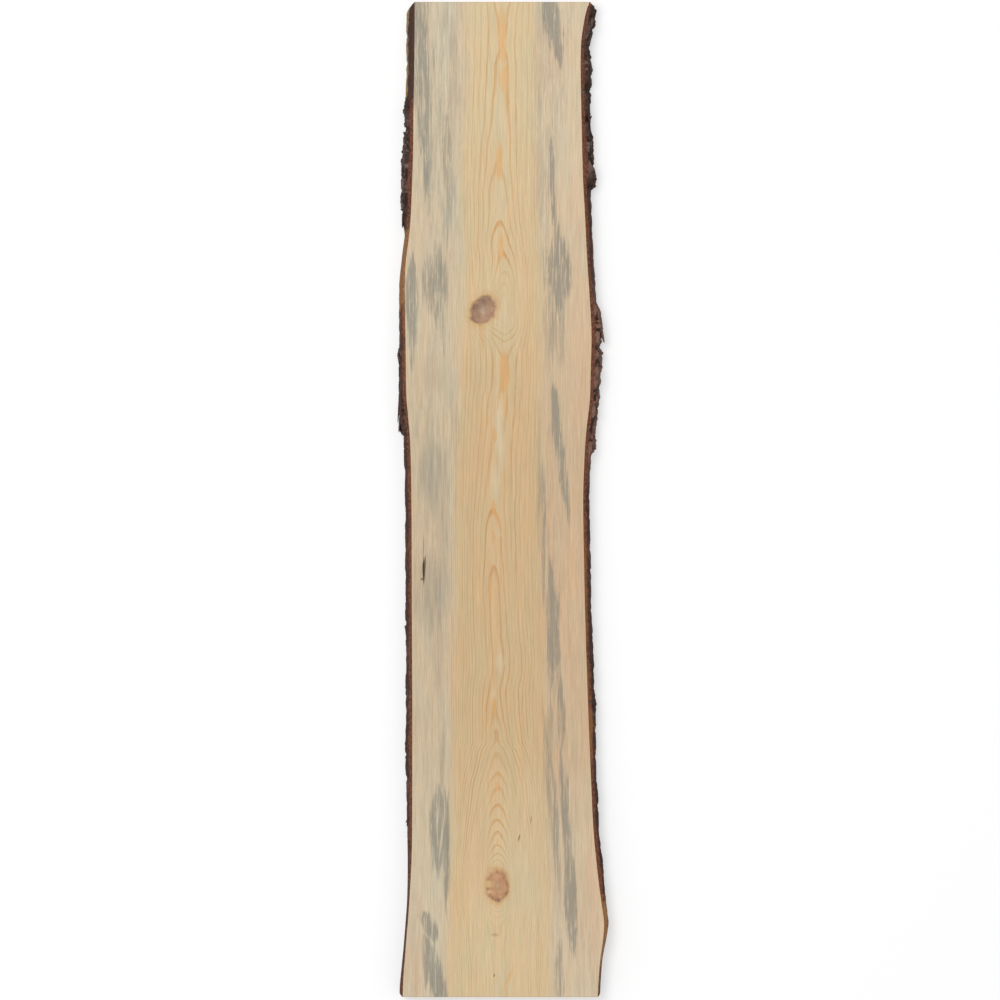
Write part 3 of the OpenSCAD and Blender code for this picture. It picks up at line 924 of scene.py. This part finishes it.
def make_bark_skin():
    """Bark on one edge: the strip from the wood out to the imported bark's outside, broken into plates."""
    inputs = [
        ("Bark", OBJECT, None), ("Board", OBJECT, None), ("Side", FLOAT, 1.0), ("Rows", WHOLE, 1601),
        ("Face Steps", WHOLE, 26), ("Sawn Steps", WHOLE, 10), ("Back Steps", WHOLE, 2),
        ("Under Steps", WHOLE, 6), ("Length", FLOAT, 1200.0), ("Height", FLOAT, 25.0),
        ("Plate Length", FLOAT, 24.0), ("Plate Height", FLOAT, 11.0),
        ("Scale Length", FLOAT, 8.0), ("Scale Height", FLOAT, 5.0),
        ("Furrow", FLOAT, 2.6), ("Scale Lift", FLOAT, 1.2), ("Highest", FLOAT, 1.4), ("Crumble", FLOAT, 0.38),
        ("Limit", FLOAT, 130.0), ("Seed", FLOAT, 0.0), ("Material", MATERIAL, None),
    ]
    tree, net, given, out = new_mesh_group("bark_skin", inputs)
    tree.is_modifier = True

    # A sheet of rows along the plank, folded round the strip's section
    steps = [given[name] for name in ("Face Steps", "Sawn Steps", "Back Steps", "Under Steps")]
    ends = [steps[0]]
    for step in steps[1:]:
        ends.append(net.add(ends[-1], step))
    columns = net.add(ends[-1], 1.0)
    sheet = {"Size X": 1.0, "Size Y": 1.0, "Vertices X": columns, "Vertices Y": given["Rows"]}
    made = net.node("GeometryNodeMeshGrid", sheet).outputs["Mesh"]
    spot = net.parts(net.first("GeometryNodeInputPosition"))
    column = net.times(net.add(spot[0], 0.5), ends[-1])
    climb = net.line(column, 0.0, ends[0])
    inward = net.line(column, ends[0], ends[1])
    fall = net.line(column, ends[1], ends[2])
    outward = net.line(column, ends[2], ends[3])
    up = net.less(climb, fall)
    # The first and last rows are drawn together to a point, which closes the two ends
    last_row = net.less(given["Rows"], 1.0)
    row = net.times(spot[1], net.over(last_row, net.less(last_row, 2.0)))
    closing = net.maths("GREATER_THAN", net.maths("ABSOLUTE", row), 0.5)
    y = net.times(net.clamp(row, -0.5, 0.5), net.times(given["Length"], SKIN_WITHIN))
    z = net.times(net.blend(closing, up, 0.5), given["Height"])
    out_share = net.blend(closing, net.add(net.rest(inward), outward), 0.0)

    # Where the wood ends and where the bark ends, at that place and height
    ray_z = net.clamp(z, RAY_MARGIN, net.less(given["Height"], RAY_MARGIN))
    start = net.metres(net.times(given["Side"], RAY_START), net.times(y, RAY_WITHIN), ray_z)
    way = net.vector(net.times(given["Side"], -1.0), 0.0, 0.0)
    board = net.node("GeometryNodeObjectInfo", {"Object": given["Board"]}).outputs["Geometry"]
    bark = net.node("GeometryNodeObjectInfo", {"Object": given["Bark"]}).outputs["Geometry"]
    both = net.node("GeometryNodeJoinGeometry")
    for part in (board, bark):
        net.tree.links.new(part, both.inputs[0])
    wood_out = reach_of(net, board, start, way)
    bark_out = reach_of(net, both.outputs[0], start, way)
    share = net.add(net.over(y, given["Length"]), 0.5)
    on_right = net.maths("GREATER_THAN", given["Side"], 0.0)
    worn = net.times(net.curve(share, WORN_RIGHT, WORN_REACH), on_right)
    thick = net.maths("MAXIMUM", net.less(net.less(bark_out, wood_out), worn), THINNEST)

    # Relief on the outside, and the sawn edge, which crumbles away towards the outside
    depth = net.times(thick, out_share)
    relief, tone = plate_relief(net, given, y, z, thick)
    push = net.times(relief, net.times(out_share, out_share))
    seed = given["Seed"]
    own_y = net.add(y, seed)
    ragged = net.noise(net.vector(net.times(own_y, EDGE_WAVES), 0.0, seed), *EDGE_NOISE)
    drop = net.times(net.ramp(ragged, *EDGE_DROP), net.times(thick, given["Crumble"]))
    pits = net.field(net.vector(own_y, depth, seed), PIT_NOISE)
    pits = net.times(pits, net.ramp(thick, *PIT_DEPTH))
    sunk = net.times(net.add(drop, pits), out_share)
    lowered = net.less(z, net.times(sunk, net.ramp(up, *EDGE_REACH)))
    reach = net.maths("MINIMUM", net.add(net.add(wood_out, depth), push), given["Limit"])
    point = net.metres(net.times(reach, given["Side"]), y, lowered)

    look = {"depth": net.less(reach, wood_out), "cover": thick, "relief": relief, "tone": tone}
    made = store(net, made, look)
    made = net.first("GeometryNodeSetPosition", {"Geometry": made, "Position": point})
    made = net.first("GeometryNodeMergeByDistance", {"Geometry": made, "Distance": MERGE_DISTANCE * MM})
    made = net.first("GeometryNodeFlipFaces", {"Mesh": made, "Selection": on_right})
    made = net.first("GeometryNodeSetShadeSmooth", {"Geometry": made})
    made = net.first("GeometryNodeRealizeInstances", {"Geometry": made})
    made = net.first("GeometryNodeSetMaterial", {"Geometry": made, "Material": given["Material"]})
    net.feed(out["Geometry"], made)
    return tree


def plate_relief(net, given, y, z, thick):
    """Height of plates, furrows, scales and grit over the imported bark, and a tone for each scale."""
    seed = given["Seed"]
    own_y = net.add(y, seed)
    flat = net.vector(own_y, z, seed)
    bend = net.swing(flat, BEND_NOISE)
    bent_y = net.add(own_y, net.times(bend, BEND_ALONG))
    bent_z = net.add(z, net.times(bend, BEND_UP))
    plate = cells(net, given, "Plate", bent_y, bent_z, "DISTANCE_TO_EDGE")[0]
    furrow = net.times(net.ramp(plate["Distance"], *FURROW_WIDTH), given["Furrow"])
    scale, scale_place = cells(net, given, "Scale", bent_y, bent_z, "F1")
    tone, dip, roll = net.parts(scale["Color"])
    between = {0: scale_place, 1: scale["Position"]}
    away = net.parts(net.first("ShaderNodeVectorMath", between, operation="SUBTRACT"))
    slant = net.add(net.times(away[0], net.less(dip, 0.5)), net.times(away[1], net.less(roll, 0.5)))
    lift = net.add(net.less(tone, SCALE_SINK), net.times(slant, SCALE_SLANT))
    grit = net.swing(flat, GRIT_NOISE)
    plated = net.ramp(thick, *PLATED_THICKNESS)
    rough = net.add(net.times(lift, given["Scale Lift"]), net.times(grit, GRIT_PLATED))
    relief = net.times(net.less(rough, furrow), plated)
    relief = net.add(relief, net.times(grit, net.blend(plated, GRIT_BARE, 0.0)))
    return net.clamp(relief, net.times(thick, DEEPEST), given["Highest"]), tone


def cells(net, given, name, y, z, feature):
    """Cells of the named length and height on the outside, and the place that they are measured at."""
    along = net.over(y, given[name + " Length"])
    up = net.over(z, given[name + " Height"])
    place = net.vector(along, up, given["Seed"])
    made = net.node("ShaderNodeTexVoronoi", {"Vector": place, "Scale": 1.0}, feature=feature)
    return made.outputs, place


def make_scales():
    """Loose scales that stand off the thick plates of a skin."""
    inputs = [
        ("Skin", OBJECT, None), ("Density", FLOAT, 20000.0), ("Least Cover", FLOAT, 6.5),
        ("Smallest", FLOAT, 1.2), ("Largest", FLOAT, 3.4), ("Tilt", FLOAT, 0.45), ("Limit", FLOAT, 130.0),
        ("Height", FLOAT, 25.0), ("Side", FLOAT, 1.0), ("Seed", WHOLE, 1), ("Material", MATERIAL, None),
    ]
    tree, net, given, out = new_mesh_group("bark_scales", inputs)
    tree.is_modifier = True
    seed = given["Seed"]
    skin = net.node("GeometryNodeObjectInfo", {"Object": given["Skin"]}).outputs["Geometry"]
    cover = net.first("GeometryNodeInputNamedAttribute", {"Name": "cover"}, data_type="FLOAT")
    slope = net.parts(net.first("GeometryNodeInputNormal"))[0]
    outside = net.maths("GREATER_THAN", net.times(slope, given["Side"]), CHIP_SLOPE)
    chosen = net.times(outside, net.maths("GREATER_THAN", cover, given["Least Cover"]))
    spread = net.node(
        "GeometryNodeDistributePointsOnFaces",
        {"Mesh": skin, "Selection": chosen, "Density": given["Density"], "Seed": seed},
    ).outputs
    chip = net.node("GeometryNodeMeshIcoSphere", {"Radius": 1.0, "Subdivisions": 1}).outputs["Mesh"]
    back = net.times(given["Tilt"], -1.0)
    lean = net.vector(
        chance(net, back, given["Tilt"], seed),
        chance(net, back, given["Tilt"], net.add(seed, 1)),
        chance(net, -CHIP_TURN, CHIP_TURN, net.add(seed, 2)),
    )
    turn = net.first("FunctionNodeEulerToRotation", {"Euler": lean})
    turns = {"Rotation": spread["Rotation"], "Rotate By": turn}
    turned = net.first("FunctionNodeRotateRotation", turns, rotation_space="LOCAL")
    length = net.times(chance(net, given["Smallest"], given["Largest"], net.add(seed, 3)), MM)
    width = net.times(length, chance(net, CHIP_NARROWEST, CHIP_WIDEST, net.add(seed, 4)))
    size = net.vector(length, width, net.times(length, CHIP_THICKNESS))
    made = net.first(
        "GeometryNodeInstanceOnPoints",
        {"Points": spread["Points"], "Instance": chip, "Rotation": turned, "Scale": size},
    )
    tone = chance(net, 0.0, 1.0, net.add(seed, 5))
    made = net.first("GeometryNodeRealizeInstances", {"Geometry": made})
    made = store(net, made, {**CHIP_LOOK, "tone": tone})
    net.feed(out["Geometry"], keep_inside(net, made, given))
    return tree


def chance(net, low, high, seed):
    """A random number for each point."""
    made = net.node("FunctionNodeRandomValue", data_type="FLOAT")
    fields = {socket.name: socket for socket in made.inputs if socket.enabled}
    for name, value in (("Min", low), ("Max", high), ("Seed", seed)):
        net.feed(fields[name], value)
    return [socket for socket in made.outputs if socket.enabled][0]


def keep_inside(net, mesh, given):
    """The mesh in its material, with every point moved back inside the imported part's sides and faces."""
    x, y, z = net.parts(net.stretch(net.first("GeometryNodeInputPosition"), (1 / MM,) * 3))
    x = net.clamp(x, net.times(given["Limit"], -1.0), given["Limit"])
    point = net.metres(x, y, net.clamp(z, 0.0, given["Height"]))
    mesh = net.first("GeometryNodeSetPosition", {"Geometry": mesh, "Position": point})
    return net.first("GeometryNodeSetMaterial", {"Geometry": mesh, "Material": given["Material"]})


def make_shred():
    """A strip of bark that is loose at one end: it leaves the skin at its root and tapers to its tip."""
    sockets = ("Side", "Root", "Tip", "Height", "Stand Off", "Half Width", "Half Thickness")
    inputs = [("Skin", OBJECT, None)] + [(name, FLOAT, 1.0) for name in sockets]
    tree, net, given, out = new_mesh_group("shred", inputs)
    line = net.first("GeometryNodeCurvePrimitiveLine", {"Start": (0.0, 0.0, 0.0), "End": (0.0, 1.0, 0.0)})
    line = net.first("GeometryNodeResampleCurve", {"Curve": line, "Count": SHRED_POINTS})
    along = net.node("GeometryNodeSplineParameter").outputs["Factor"]
    skin = net.node("GeometryNodeObjectInfo", {"Object": given["Skin"]}).outputs["Geometry"]
    start = net.metres(net.times(given["Side"], RAY_START), given["Root"], given["Height"])
    root = reach_of(net, skin, start, net.vector(net.times(given["Side"], -1.0), 0.0, 0.0))
    y = net.blend(along, given["Root"], given["Tip"])
    sway = net.less(net.noise(net.vector(net.times(y, SWAY_WAVES), given["Height"], 0.0)), 0.5)
    bow = net.times(net.maths("POWER", along, SHRED_BOW), given["Stand Off"])
    seated = net.less(root, net.times(given["Half Thickness"], SHRED_SEAT))
    z = net.add(given["Height"], net.times(sway, given["Half Width"]))
    point = net.metres(net.times(net.add(seated, bow), given["Side"]), y, z)
    path = net.first("GeometryNodeSetPosition", {"Geometry": line, "Position": point})
    path = net.first("GeometryNodeSetCurveNormal", {"Curve": path}, mode="Z_UP")
    ring = net.first("GeometryNodeCurvePrimitiveCircle", {"Resolution": SHRED_SIDES, "Radius": 1.0})
    flat = net.metres(given["Half Thickness"], given["Half Width"], 1.0)
    ring = net.first("GeometryNodeTransform", {"Geometry": ring, "Scale": flat})
    taper = net.maths("POWER", net.maths("MAXIMUM", net.rest(along), SHRED_LEAST), SHRED_TAPER)
    taper = net.times(taper, net.add(1.0, net.times(sway, SHRED_UNEVEN)))
    strip = {"Curve": path, "Profile Curve": ring, "Scale": taper, "Fill Caps": True}
    made = store(net, net.first("GeometryNodeCurveToMesh", strip), SHRED_LOOK)
    net.feed(out["Geometry"], net.first("GeometryNodeSetShadeSmooth", {"Geometry": made}))
    return tree


def make_shreds(skins):
    """All the shreds on both edges, as one piece."""
    inputs = [("Limit", FLOAT, 120.0), ("Height", FLOAT, 25.0), ("Material", MATERIAL, None)]
    tree, net, given, out = new_mesh_group("bark_shreds", inputs)
    tree.is_modifier = True
    shred = make_shred()
    joined = net.node("GeometryNodeJoinGeometry")
    for side, root, tip, height, stand_off, half_width, half_thickness in SHREDS:
        values = {
            "Skin": skins[side], "Side": side, "Root": root, "Tip": tip, "Height": height,
            "Stand Off": stand_off, "Half Width": half_width, "Half Thickness": half_thickness,
        }
        net.tree.links.new(place_group(net, shred, values)["Geometry"], joined.inputs[0])
    made = net.first("GeometryNodeRealizeInstances", {"Geometry": joined.outputs[0]})
    net.feed(out["Geometry"], keep_inside(net, made, given))
    return tree


def reach_of(net, target, start, way):
    """Distance from the middle plane, in mm, at which a ray from outside meets the target."""
    inputs = {
        "Target Geometry": target, "Source Position": start, "Ray Direction": way, "Ray Length": RAY_LENGTH,
    }
    hit = net.node("GeometryNodeRaycast", inputs).outputs["Hit Position"]
    return net.over(net.maths("ABSOLUTE", net.parts(hit)[0]), MM)


def store(net, mesh, values):
    """The mesh with the named values kept on its points, for the material."""
    for name, value in values.items():
        inputs = {"Geometry": mesh, "Name": name, "Value": value}
        mesh = net.first("GeometryNodeStoreNamedAttribute", inputs, data_type="FLOAT", domain="POINT")
    return mesh


def make_bark_material():
    """Bark in layers from the wood outwards: lining, bast, red inner bark and dark outer plates."""
    material, net, shader = new_material("bark")
    place = place_in_mm(net)
    x, y, z = net.parts(place)
    depth, cover, relief, tone = (
        net.node("ShaderNodeAttribute", attribute_name=name).outputs["Fac"]
        for name in ("depth", "cover", "relief", "tone")
    )
    share = net.add(net.over(y, LENGTH), 0.5)
    right = net.maths("GREATER_THAN", x, 0.0)
    patch = net.field(place, BARK_PATCHES)
    patch_swing = net.less(patch, 0.5)
    grain = net.field(place, BARK_GRAIN)
    torn = net.add(share, net.times(net.swing(place, BARK_TEAR), TEAR_SHARE))
    bare = net.blend(right, net.curve(torn, BARE_LEFT, 1.0), net.curve(torn, BARE_RIGHT, 1.0))
    fibre = place_group(net, FIBRE_GROUP, {"Place": place, "Fineness": BARK_FINENESS})
    level = net.over(depth, net.maths("MAXIMUM", cover, LEAST_COVER))

    # Outer bark: dark scales, grey only on the thick plates, with deep furrows
    greyness = net.times(net.ramp(net.add(tone, patch), *GREY_TONE), net.ramp(cover, *GREY_COVER))
    outer = net.tint(greyness, BARK_OUTER, BARK_GREY)
    # Red-brown plates on the bulge of the right edge
    frayed = net.add(share, net.times(patch_swing, BULGE_FRAY))
    bulge = net.times(net.ramp(frayed, *BULGE_START), net.ramp(frayed, *BULGE_END))
    warm = net.times(net.times(bulge, right), net.ramp(net.add(patch, grain), *BULGE_LEVEL))
    outer = net.tint(warm, outer, BARK_WARM)
    # Painted shade: the colour turns near-black where the relief sinks into the furrows
    outer = net.tint(net.ramp(relief, *FURROW_SHADE_DEPTHS), outer, BARK_FURROW_SHADE)
    # Inner bark: red-brown layers, thick where the outer bark is thin
    inner = net.tint(net.ramp(grain, *INNER_GRAIN), BARK_INNER, BARK_RED)
    turn = net.add(net.ramp(cover, *OUTER_LEVEL), net.times(patch_swing, OUTER_FRAY))
    bark = net.tint(net.ramp(net.less(level, turn), *OUTER_BLUR), inner, outer)
    # Bast, golden where it is bare, and the lining next to the wood
    golden = net.times(net.ramp(fibre["Shift"], *GOLD_FIBRE), net.ramp(bare, *GOLD_BARE))
    bast = net.tint(golden, BARK_BAST, BARK_OCHRE)
    reach = net.add(net.times(bare, BAST_REACH), net.times(patch_swing, BAST_FRAY))
    shown = net.times(net.ramp(net.less(level, reach), *BAST_BLUR), net.ramp(bare, *BAST_BARE))
    bark = net.tint(shown, bark, bast)
    upper = net.ramp(net.add(share, net.times(patch_swing, STRIP_FRAY)), *STRIP_START)
    upper_left = net.times(net.rest(right), upper)
    lining = net.ramp(net.add(patch, net.times(grain, LINING_GRAIN)), *LINING_LEVEL)
    lining = net.times(net.ramp(depth, *LINING_DEPTH), lining)
    bark = net.tint(net.times(lining, net.rest(upper_left)), bark, BARK_LINING)
    # A dark strip at the upper left, with a yellow sliver of bark outside it
    bark = net.tint(net.times(upper_left, STRIP_LEVEL), bark, BARK_OUTER)
    sliver = net.ramp(net.add(z, net.times(patch_swing, SLIVER_FRAY)), *SLIVER_HEIGHT)
    sliver = net.times(net.times(upper_left, sliver), net.ramp(grain, *SLIVER_GRAIN))
    bark = net.tint(sliver, bark, BARK_OLIVE)
    net.feed(shader["Base Color"], shade(net, bark, net.ramp(grain, *BARK_SHADE)))
    shader["Roughness"].default_value = BARK_ROUGHNESS
    shader["Specular IOR Level"].default_value = BARK_SPECULAR
    net.feed(shader["Normal"], net.first("ShaderNodeBump", {"Height": grain, **BARK_BUMP}))
    return material


def grow(name, tree, values):
    """A plain mesh piece made by a node tree with the given named inputs."""
    piece = bpy.data.objects.new(name, bpy.data.meshes.new(name))
    bpy.context.scene.collection.objects.link(piece)
    modifier = piece.modifiers.new("grow", "NODES")
    modifier.node_group = tree
    for item in tree.interface.items_tree:
        if item.in_out == "INPUT" and item.name in values:
            modifier[item.identifier] = values[item.name]
    depsgraph = bpy.context.evaluated_depsgraph_get()
    evaluated = piece.evaluated_get(depsgraph)
    mesh = bpy.data.meshes.new_from_object(evaluated, preserve_all_data_layers=True, depsgraph=depsgraph)
    piece.modifiers.remove(modifier)
    piece.data = mesh
    return piece


# Studio

def shows_back(net):
    """One for the rays that show the background: from the camera, from gloss and through clear things."""
    path = net.node("ShaderNodeLightPath").outputs
    seen = net.maths("MAXIMUM", path["Is Camera Ray"], path["Is Glossy Ray"])
    return net.maths("MAXIMUM", seen, path["Is Transmission Ray"])


def make_floor():
    """A pale floor that glows just enough to show as white."""
    size = FLOOR_HALF_SIZE
    corners = [(-size, -size, 0.0), (size, -size, 0.0), (size, size, 0.0), (-size, size, 0.0)]
    mesh = bpy.data.meshes.new("floor")
    mesh.from_pydata(corners, [], [(0, 1, 2, 3)])
    floor = bpy.data.objects.new("floor", mesh)
    bpy.context.scene.collection.objects.link(floor)
    material = bpy.data.materials.new("floor_paper")
    material.use_nodes = True
    material.node_tree.nodes.clear()
    net = Net(material.node_tree)
    paper = net.first("ShaderNodeBsdfDiffuse", {"Color": FLOOR_PAPER})
    glow_level = net.times(shows_back(net), FLOOR_GLOW)
    glow = net.first("ShaderNodeEmission", {"Color": WHITE, "Strength": glow_level})
    both = net.first("ShaderNodeAddShader", {0: paper, 1: glow})
    net.node("ShaderNodeOutputMaterial", {"Surface": both})
    mesh.materials.append(material)


def make_world():
    """Even light from all sides, white where it is seen."""
    world = bpy.data.worlds.new("studio")
    world.use_nodes = True
    world.node_tree.nodes.clear()
    net = Net(world.node_tree)
    strength = net.blend(shows_back(net), WORLD_LEVEL, 1.0)
    back = net.first("ShaderNodeBackground", {"Color": WHITE, "Strength": strength})
    net.node("ShaderNodeOutputWorld", {"Surface": back})
    bpy.context.scene.world = world


def add_lamp(name, place, size, power):
    """A square soft lamp that faces the middle of the plank."""
    light = bpy.data.lights.new(name, "AREA")
    light.shape = "SQUARE"
    light.size = size
    light.energy = power
    lamp = bpy.data.objects.new(name, light)
    lamp.location = place
    lamp.rotation_euler = (-Vector(place)).to_track_quat("-Z", "Y").to_euler()
    bpy.context.scene.collection.objects.link(lamp)


def add_camera():
    camera = bpy.data.cameras.new("camera")
    camera.lens = LENS
    camera.sensor_width = SENSOR
    camera.clip_end = CLIP_END
    eye = bpy.data.objects.new("camera", camera)
    height = THICKNESS + PICTURE_WIDTH * LENS / SENSOR
    eye.location = (0.0, PICTURE_MIDDLE_Y * MM, height * MM)
    bpy.context.scene.collection.objects.link(eye)
    bpy.context.scene.camera = eye


pine = make_pine()
bark = make_bark_material()
NODES["board"].data.materials.clear()
NODES["board"].data.materials.append(pine)
skin_tree = make_bark_skin()
scale_tree = make_scales()
skins = {}
for side, node, seed in EDGES:
    low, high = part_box(node)
    limit = max(-low.x, high.x) / MM
    shared = {"Limit": limit, "Height": THICKNESS, "Side": side, "Material": bark}
    skin_values = {"Bark": NODES[node], "Board": NODES["board"], "Seed": float(seed), "Length": LENGTH}
    skins[side] = grow(node + "_skin", skin_tree, {**shared, **skin_values})
    scales = grow(node + "_scales", scale_tree, {**shared, "Skin": skins[side], "Seed": seed})
    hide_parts(node)
    for piece in (skins[side], scales):
        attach(piece, "root")
shred_values = {"Limit": SHRED_LIMIT, "Height": THICKNESS, "Material": bark}
shreds = grow("bark_shreds", make_shreds(skins), shred_values)
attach(shreds, "root")

make_floor()
make_world()
add_lamp("key", KEY_PLACE, KEY_SIZE, KEY_POWER)
add_camera()
bpy.context.scene.view_settings.view_transform = "Standard"
